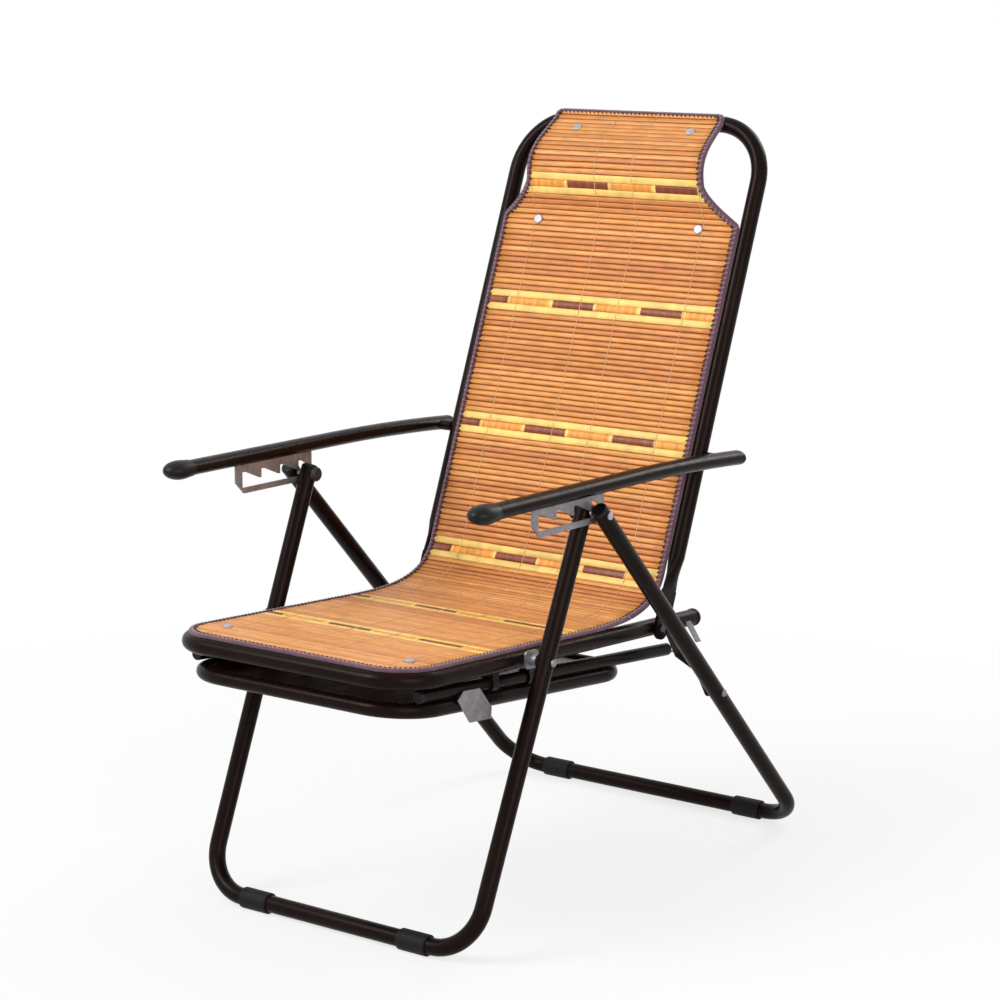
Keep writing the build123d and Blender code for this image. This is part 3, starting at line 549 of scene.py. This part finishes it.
def skin(points, faces, rings, closed_ends=True):
    """Add a skin over rings of points to a mesh's lists."""
    size = len(rings[0])
    base = len(points)
    for ring in rings:
        points.extend(ring)
    for r in range(len(rings) - 1):
        for k in range(size):
            a = base + r * size + k
            b = base + r * size + (k + 1) % size
            faces.append((a, b, b + size, a + size))
    if closed_ends:
        faces.append(tuple(base + k for k in reversed(range(size))))
        faces.append(tuple(base + (len(rings) - 1) * size + k for k in range(size)))


def tube_rings(line, radius, sides):
    """Rings of a thin tube along a line of points."""
    rings = []
    for k, point in enumerate(line):
        ahead = (line[min(k + 1, len(line) - 1)] - line[max(k - 1, 0)]).normalized()
        first = ahead.orthogonal().normalized()
        second = ahead.cross(first)
        turns = [2 * math.pi * n / sides for n in range(sides)]
        rings.append([point + (first * math.cos(t) + second * math.sin(t)) * radius for t in turns])
    return rings


# The mat's pieces

SLAT_PROFILE = ((-1.0, 0.0), (-1.0, 0.62), (-0.7, 0.94), (0.0, 1.0), (0.7, 0.94), (1.0, 0.62), (1.0, 0.0))
SLAT_BASE = BACKING_T - MAT_T / 2
SLAT_TINTS = (srgb(222, 148, 80), srgb(212, 138, 70), srgb(230, 162, 92),
              srgb(207, 130, 68), srgb(226, 154, 78))
BAND_TINT = srgb(246, 208, 116)
FLECK_TINTS = (srgb(240, 168, 66), srgb(220, 104, 30), srgb(234, 142, 48),
               srgb(204, 78, 20), srgb(236, 154, 56))
DASH_TINTS = (srgb(142, 62, 16), srgb(160, 76, 24), srgb(126, 52, 12))


def dash_colour(x):
    """Colour of a dash row at a distance across: brown and orange dashes on a yellow slat."""
    cell = (x - DASH_START) / DASH_PITCH
    number = math.floor(cell)
    if (cell - number) * DASH_PITCH < DASH_GAP:
        return BAND_TINT
    fleck = math.floor((x - DASH_START) / FLECK_PITCH)
    tints = FLECK_TINTS if number % 2 == 0 else DASH_TINTS
    return tints[(fleck * fleck + 3 * fleck) // 2 % len(tints)]


def row_stations(half, kind):
    """Places across a row where its rings stand. A dash row has a pair at each change of colour."""
    stations = [-half + 2 * half * k / SLAT_STATIONS for k in range(1, SLAT_STATIONS)]
    if kind == "dash":
        changes = ((DASH_START, DASH_PITCH), (DASH_START + DASH_GAP, DASH_PITCH), (DASH_START, FLECK_PITCH))
        for first, pitch in changes:
            low, high = math.ceil((-half - first) / pitch), math.floor((half - first) / pitch)
            turns = [first + number * pitch for number in range(low, high + 1)]
            stations += [turn + side * DASH_BLUR for turn in turns for side in (-1, 1)]
    return [-half] + sorted(x for x in stations if -half < x < half) + [half]


def slats(name, rows, material):
    """The slats of one half of the mat."""
    points, faces, tints, row_values, across_values = [], [], [], [], []
    for s, width, kind in rows:
        half = half_width(s) - SLAT_INSET
        tint = BAND_TINT if kind == "band" else SLAT_TINTS[DICE.randrange(len(SLAT_TINTS))]
        row_value = DICE.random()
        bow = [DICE.uniform(-SLAT_BOW, SLAT_BOW) for _ in range(3)]
        lift = DICE.uniform(-SLAT_UNEVEN, SLAT_UNEVEN)
        rings = []
        for x in row_stations(half, kind):
            share = x / half
            waves = (share, math.cos(SLAT_BOW_WAVES[0] * share), math.sin(SLAT_BOW_WAVES[1] * share))
            drift = sum(size * wave for size, wave in zip(bow, waves))
            ring = []
            for across, height in SLAT_PROFILE:
                at = s + drift + across * width / 2
                limit = half_width(at) - SLAT_INSET
                reach = max(min(x, limit), -limit) if abs(share) > ROW_END else x
                ring.append(place(reach, at, SLAT_BASE + (SLAT_CROWN + lift) * height))
                tints.append(dash_colour(x) if kind == "dash" else tint)
                row_values.append(row_value)
                across_values.append(across if kind == "slat" else 0.0)
            rings.append(ring)
        skin(points, faces, rings)
    piece = mesh_object(name, points, faces, material)
    tint_layer = piece.data.attributes.new("tint", "FLOAT_COLOR", "POINT")
    tint_layer.data.foreach_set("color", [value for tint in tints for value in tint])
    row_layer = piece.data.attributes.new("row", "FLOAT", "POINT")
    row_layer.data.foreach_set("value", row_values)
    across_layer = piece.data.attributes.new("across", "FLOAT", "POINT")
    across_layer.data.foreach_set("value", across_values)
    return piece


def outline(low, high):
    """Right edge of the mat between two distances along it, as (x, s) points from the low end."""
    points = []
    s = low
    while s < high:
        points.append((half_width(s), s))
        close = s < FRONT_CORNER or MAT_LENGTH - s < TOP_CORNER or NECK < s < NECK + NECK_LENGTH
        s += BINDING_STEP * (BINDING_FINE if close else 1.0)
    points.append((half_width(high), high))
    return points


def edge_line(lower):
    """Edge of one half of the mat as (x, s) points, from its right end round to its left end."""
    right = outline(0.0, SPLIT) if lower else outline(SPLIT, MAT_LENGTH)
    if lower:
        right = right[::-1]
    corner_x, end_s = right[-1]
    count = round(2 * corner_x / BINDING_STEP)
    across = [(corner_x - 2 * corner_x * k / count, end_s) for k in range(1, count)]
    return right + across + [(-x, s) for x, s in reversed(right)]


def edge_frames(lower):
    """The edge as (point, inward direction), both in the mat's own (x, s) plane."""
    line = [Vector(p) for p in edge_line(lower)]
    frames = []
    for k, point in enumerate(line):
        ahead = (line[min(k + 1, len(line) - 1)] - line[max(k - 1, 0)]).normalized()
        inward = Vector((-ahead.y, ahead.x)) if not lower else Vector((ahead.y, -ahead.x))
        frames.append((point, inward))
    return frames


def on_mat(point, lift):
    """A point in space from an (x, s) place of the mat, held to the mat's length."""
    return place(point.x, min(max(point.y, 0.0), MAT_LENGTH), lift)


def binding(name, lower, material):
    """Cloth tape folded round the edge of one half of the mat."""
    top = MAT_T / 2 + BINDING_SKIN
    low = -MAT_T / 2
    hem = low - HEM_DROP
    inner = BINDING_W
    over = ((inner, top - BINDING_T), (inner, top), (inner * 0.5, top + BINDING_CROWN), (0.0012, top))
    round_edge = ((-0.0006, top * 0.4), (-0.0012, low * 0.6), (-0.0006, hem * 0.8))
    under = ((0.0014, hem), (0.0036, hem * 0.9), (inner, low - 0.0001), (inner, low + BINDING_SKIN))
    inside = ((0.0022, low + 0.0006), (0.0022, top - BINDING_T))
    section = over + round_edge + under + inside
    rings = [[on_mat(point + inward * depth, lift) for depth, lift in section]
             for point, inward in edge_frames(lower)]
    points, faces = [], []
    skin(points, faces, rings)
    return mesh_object(name, points, faces, material)


def stitches(name, lower, material, radius, reach, begin):
    """Stitches across the binding, between two depths from the mat's edge."""
    points, faces = [], []
    frames = edge_frames(lower)
    travelled = STITCH_PITCH * begin
    for (point, inward), (after, _) in zip(frames, frames[1:]):
        run = after - point
        while travelled < run.length:
            spot = point + run * (travelled / run.length)
            lean = run.normalized() * DICE.uniform(*STITCH_LEAN)
            start = spot + inward * reach[0] - lean
            finish = spot + inward * reach[1] + lean
            steps = len(STITCH_HEIGHTS) - 1
            line = [on_mat(start.lerp(finish, k / steps), lift) for k, lift in enumerate(STITCH_HEIGHTS)]
            skin(points, faces, tube_rings(line, radius, THREAD_SIDES))
            travelled += STITCH_PITCH
        travelled -= run.length
    return mesh_object(name, points, faces, material)


def thread_lines(name, rows, material):
    """Threads that hold the slats together: over each slat and down into the gap between."""
    points, faces = [], []
    top = SLAT_BASE + SLAT_CROWN
    for x in THREAD_PLACES:
        line = []
        for s, width, _ in rows:
            if abs(x) > half_width(s) - BINDING_W:
                continue
            stray = DICE.uniform(-THREAD_STRAY, THREAD_STRAY)
            line += [place(x + stray, s - width / 2 - SLAT_GAP / 2, top - THREAD_DIP),
                     place(x, s - width * 0.2, top + THREAD_R * 0.5),
                     place(x, s + width * 0.2, top + THREAD_R * 0.5)]
        skin(points, faces, tube_rings(line, THREAD_R, THREAD_SIDES))
    return mesh_object(name, points, faces, material)


def backing(name, low, high, material):
    """Cloth under the slats of one half of the mat."""
    under = -MAT_T / 2
    count = round((high - low) / BINDING_STEP)
    rings = []
    for k in range(count + 1):
        s = low + (high - low) * k / count
        half = max(half_width(s) - BACKING_INSET, BACKING_LEAST_HALF)
        across = [half * (n / BACKING_STATIONS - 1) for n in range(2 * BACKING_STATIONS + 1)]
        rings.append([place(x, s, under + BACKING_T) for x in across]
                     + [place(x, s, under) for x in reversed(across)])
    points, faces = [], []
    skin(points, faces, rings)
    return mesh_object(name, points, faces, material)


def build_mat():
    """Both halves of the mat, split in the bend between the seat and the back, in place of the CAD mat pieces."""
    slat_finish = bamboo()
    cloth = woven("binding_cloth", srgb(66, 30, 44), srgb(128, 86, 106), 330.0, 0.4)
    canvas = woven("backing_cloth", srgb(150, 78, 38), srgb(198, 116, 64), 260.0, 0.1)
    pink = thread("stitch_thread", srgb(148, 116, 132), srgb(196, 166, 178))
    dark = thread("scallop_thread", srgb(34, 14, 20), srgb(66, 32, 40))
    pale = thread("slat_thread", srgb(216, 164, 112), srgb(240, 198, 150))
    halves = (("lower", True, LOWER_ROWS, 0.0, SPLIT, "seat", "back_pivot", BEND_START, SPLIT),
              ("upper", False, UPPER_ROWS, SPLIT, MAT_LENGTH, "back_pivot", "back", SPLIT, BEND_END))
    for label, lower, rows, low, high, before, after, start, end in halves:
        sheet = backing("mat_backing_" + label, low, high, canvas)
        parts = [slats("mat_slats_" + label, rows, slat_finish),
                 binding("mat_binding_" + label, lower, cloth),
                 stitches("mat_stitches_" + label, lower, pink, STITCH_R, STITCH_SPAN, 0.5),
                 stitches("mat_scallops_" + label, lower, dark, SCALLOP_R, SCALLOP_SPAN, 0.0),
                 thread_lines("mat_threads_" + label, rows, pale)]
        for piece in [sheet] + parts:
            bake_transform(piece)
        if lower:
            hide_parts("seat_mat", "mat_bend")
        else:
            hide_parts("back_mat")
        steps = [low + (high - low) * (k + 0.5) / AREA_STEPS for k in range(AREA_STEPS)]
        area = sum(2 * half_width(s) for s in steps) * (high - low) / AREA_STEPS


# The frame's finishes

# Plated pieces that the photograph shows dark, and the outer face of the leg pins' inner nuts
DARK_NODES = ("link_left", "link_right", "armrest_bracket")
NUT_FACE = 0.24035
NUT_EDGE = 0.0001


def finish_frame():
    """Give each CAD piece the finish of its slot. Snaps, leg pins and the dark pieces have their own."""
    finishes = {"painted_tube": painted_tube(), "black_plastic": moulded_plastic(),
                "black_rubber": sleeve_rubber(), "panel": lacquered_board(),
                "zinc": zinc_plate("zinc", srgb(112, 108, 112), srgb(160, 155, 158), 0.6)}
    pin_metal = capped_pin()
    snap_metal = zinc_plate("snap_metal", srgb(150, 148, 156), srgb(204, 202, 212), 0.45)
    for name, piece in frame["nodes"].items():
        material = finishes.get(SLOT_OF[name])
        if name.endswith("_snaps"):
            material = snap_metal
        elif name == "rack_pins":
            material = pin_metal
        elif name.startswith(DARK_NODES):
            material = finishes["painted_tube"]
        if material:
            piece.data.materials.clear()
            piece.data.materials.append(material)


# The studio

FLOOR_HALF = 14.0
FADE_FROM = 0.6
FADE_TO = 1.8


def seen_ray(tree):
    """A socket that is 1 for rays that show the background: camera, glossy and transmission rays."""
    path = add_node(tree, "LightPath")
    seen = math_node(tree, "MAXIMUM", path.outputs["Is Camera Ray"], path.outputs["Is Glossy Ray"])
    return math_node(tree, "MAXIMUM", seen, path.outputs["Is Transmission Ray"])


def studio_floor():
    """A white floor that keeps the shadow near the object and fades into the white background."""
    corners = [(-FLOOR_HALF, -FLOOR_HALF, 0), (FLOOR_HALF, -FLOOR_HALF, 0),
               (FLOOR_HALF, FLOOR_HALF, 0), (-FLOOR_HALF, FLOOR_HALF, 0)]
    material, tree, shader = new_material("studio_floor")
    shader.inputs["Base Color"].default_value = (0.86, 0.86, 0.86, 1.0)
    shader.inputs["Roughness"].default_value = 0.9
    glow = add_node(tree, "Emission", Color=(1.0, 1.0, 1.0, 1.0), Strength=1.0)
    spot = add_node(tree, "NewGeometry").outputs["Position"]
    far = add_node(tree, "VectorMath", operation="LENGTH")
    tree.links.new(spot, far.inputs[0])
    fade = remap(tree, far.outputs["Value"], FADE_FROM, FADE_TO, 0.75, 1.0)
    mix = add_node(tree, "MixShader")
    tree.links.new(math_node(tree, "MULTIPLY", fade, seen_ray(tree)), mix.inputs[0])
    tree.links.new(shader.outputs[0], mix.inputs[1])
    tree.links.new(glow.outputs[0], mix.inputs[2])
    tree.links.new(mix.outputs[0], tree.nodes["Material Output"].inputs["Surface"])
    mesh_object("studio_floor", corners, [(0, 1, 2, 3)], material)


def studio_world():
    """A white background, with a softer white light from all round."""
    world = bpy.data.worlds.new("studio")
    world.use_nodes = True
    bpy.context.scene.world = world
    tree = world.node_tree
    background = tree.nodes["Background"]
    background.inputs["Color"].default_value = (1.0, 1.0, 1.0, 1.0)
    tree.links.new(remap(tree, seen_ray(tree), 0.0, 1.0, 0.5, 1.0), background.inputs["Strength"])


def soft_lamp(name, spot, aim, size, watts):
    """A square soft lamp at a spot, aimed at a point."""
    lamp = bpy.data.lights.new(name, "AREA")
    lamp.size = size
    lamp.energy = watts
    piece = bpy.data.objects.new(name, lamp)
    piece.location = spot
    piece.rotation_euler = (Vector(aim) - Vector(spot)).to_track_quat("-Z", "Y").to_euler()
    bpy.context.scene.collection.objects.link(piece)


def studio_lamps():
    """Key from the front left, fill from the right and a strip of light behind."""
    aim = (0.0, 0.0, 0.55)
    soft_lamp("key_lamp", (-1.6, -2.6, 3.0), aim, 1.6, 90.0)
    soft_lamp("fill_lamp", (3.0, -1.6, 1.6), aim, 2.0, 37.0)
    soft_lamp("back_lamp", (0.6, 3.0, 2.8), aim, 1.6, 45.0)


def studio_camera():
    """The photograph's camera."""
    azimuth, pitch = math.radians(VIEW_AZIMUTH), math.radians(VIEW_PITCH)
    level = math.cos(pitch)
    away = Vector((math.sin(azimuth) * level, -math.cos(azimuth) * level, math.sin(pitch)))
    data = bpy.data.cameras.new("camera")
    data.lens = VIEW_LENS_MM
    data.sensor_width = SENSOR_MM
    camera = bpy.data.objects.new("camera", data)
    camera.location = Vector(VIEW_TARGET) + away * VIEW_DISTANCE
    camera.rotation_euler = (-away).to_track_quat("-Z", "Y").to_euler()
    bpy.context.scene.collection.objects.link(camera)
    bpy.context.scene.camera = camera


bpy.context.scene.view_settings.view_transform = "Standard"
studio_camera()
build_mat()
finish_frame()
studio_floor()
studio_world()
studio_lamps()
